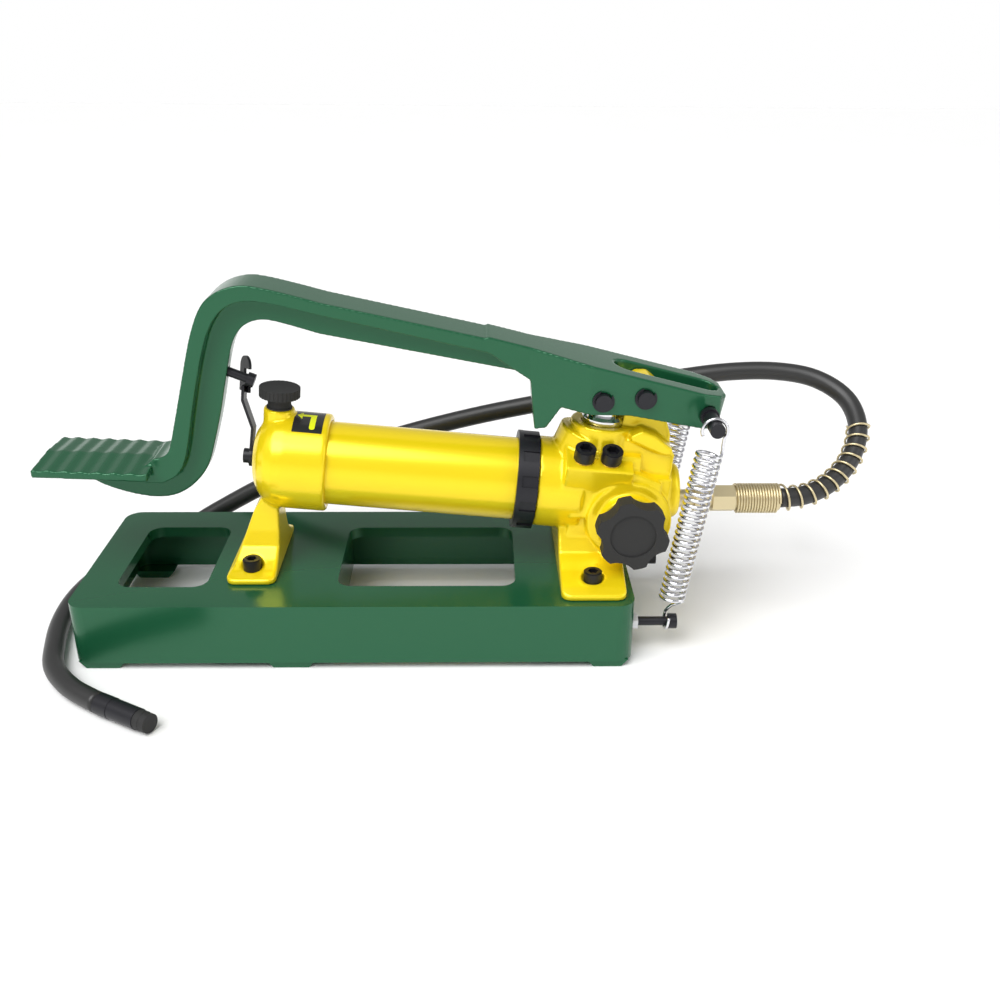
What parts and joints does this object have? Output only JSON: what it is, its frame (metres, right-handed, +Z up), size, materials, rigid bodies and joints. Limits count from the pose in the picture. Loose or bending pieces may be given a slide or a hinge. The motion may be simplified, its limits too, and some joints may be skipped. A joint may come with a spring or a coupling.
{
  "type": "hydraulic foot pump",
  "caption": "Foot-pedal hydraulic pump with an oil tank on a cast base, a lever-driven plunger, return springs and a capped outlet hose.",
  "frame": {"origin": "on the floor, under the middle of the fixed pieces and the lever (all but the hose)", "axes": "+Z up; +X along the base from the pedal end to the pump head; +Y away from the release knob"},
  "size_m": [0.7528, 0.3226, 0.315],
  "materials": {
    "green_paint": "gloss",
    "yellow_paint": "gloss",
    "black_oxide": "satin",
    "seal_rubber": "matte",
    "chrome_steel": "polished",
    "zinc_steel": "satin",
    "brass_mesh": "satin",
    "spring_wire": "polished",
    "yellow_zinc": "satin",
    "hose_rubber": "satin",
    "black_plastic": "matte",
    "label_film": "gloss"
  },
  "bodies": {
    "pump": {"base_frame": "green_paint", "tank_tube": "yellow_paint", "tank_end_cap": "yellow_paint", "clamp_ring": "black_oxide", "pump_head": "yellow_paint", "tie_bolt": "black_oxide", "tank_seals": "seal_rubber", "gland_ring": "chrome_steel", "gland_seal": "seal_rubber", "suction_tube": "zinc_steel", "suction_filter": "brass_mesh", "valve_plugs": "black_oxide", "plug_seals": "brass_mesh", "intake_spring": "spring_wire", "delivery_spring": "spring_wire", "foot_screws": "black_oxide", "foot_nuts": "zinc_steel", "anchor_screws": "black_oxide", "anchor_nuts": "zinc_steel", "outlet_fitting": "yellow_zinc", "hose_ferrule": "yellow_zinc", "guard_spring": "yellow_zinc", "hose": "hose_rubber", "coupler_body": "black_oxide", "coupler_cap": "black_plastic", "direction_label": "label_film", "return_spring_front": "spring_wire", "return_spring_back": "spring_wire"},
    "intake_ball": {"intake_ball": "chrome_steel"},
    "delivery_ball": {"delivery_ball": "chrome_steel"},
    "latch": {"latch_hook": "black_oxide"},
    "cap_seal": {"filler_seal": "seal_rubber"},
    "cap": {"filler_cap": "black_plastic"},
    "valve_seal": {"release_seal": "seal_rubber"},
    "valve": {"release_stem": "zinc_steel", "release_knob": "black_plastic"},
    "plunger": {"plunger": "chrome_steel", "plunger_ring": "zinc_steel"},
    "lever": {"lever": "green_paint", "fulcrum_pin": "black_oxide", "plunger_pin": "black_oxide", "spring_pin": "black_oxide", "pin_clips": "black_oxide", "latch_stud": "black_oxide"}
  },
  "joints": [
    {"name": "lever_hinge", "type": "hinge", "parent": "pump", "child": "lever", "pos_m": [0.1927, 0, 0.224], "axis": [0, 1, 0], "range_deg": [0, 28], "deforming": ["return_spring_front", "return_spring_back"]},
    {"name": "plunger_slide", "type": "slide", "parent": "pump", "child": "plunger", "axis": [0.0924, 0, 0.9957], "range_m": [0, 0.0175]},
    {"name": "valve_travel", "type": "slide", "parent": "pump", "child": "valve_seal", "axis": [0, -1, 0], "range_m": [0, 0.00112]},
    {"name": "valve_turn", "type": "hinge", "parent": "valve_seal", "child": "valve", "pos_m": [0.1837, 0, 0.114], "axis": [0, -1, 0], "range_deg": [0, 270]},
    {"name": "cap_lift", "type": "slide", "parent": "pump", "child": "cap_seal", "axis": [0.0924, 0, 0.9957], "range_m": [0, 0.00999]},
    {"name": "cap_turn", "type": "hinge", "parent": "cap_seal", "child": "cap", "pos_m": [-0.11788, 0, 0.20711], "axis": [0.0924, 0, 0.9957], "range_deg": [0, 1800]},
    {"name": "latch_swing", "type": "hinge", "parent": "pump", "child": "latch", "pos_m": [-0.1459, 0, 0.15949], "axis": [-0.9957, 0, 0.0924], "range_deg": [0, 60]},
    {"name": "intake_lift", "type": "slide", "parent": "pump", "child": "intake_ball", "axis": [0.0868, -0.342, 0.9357], "range_m": [0, 0.0015], "deforming": ["intake_spring"]},
    {"name": "delivery_lift", "type": "slide", "parent": "pump", "child": "delivery_ball", "axis": [0.0868, -0.342, 0.9357], "range_m": [0, 0.0015], "deforming": ["delivery_spring"]}
  ],
  "couplings": [
    {"joint": "plunger_slide", "follows": "lever_hinge", "m_per_rad": 0.0351},
    {"joint": "valve_turn", "follows": "valve_travel", "rad_per_m": 4188.8},
    {"joint": "cap_turn", "follows": "cap_lift", "rad_per_m": 3141.6}
  ]
}
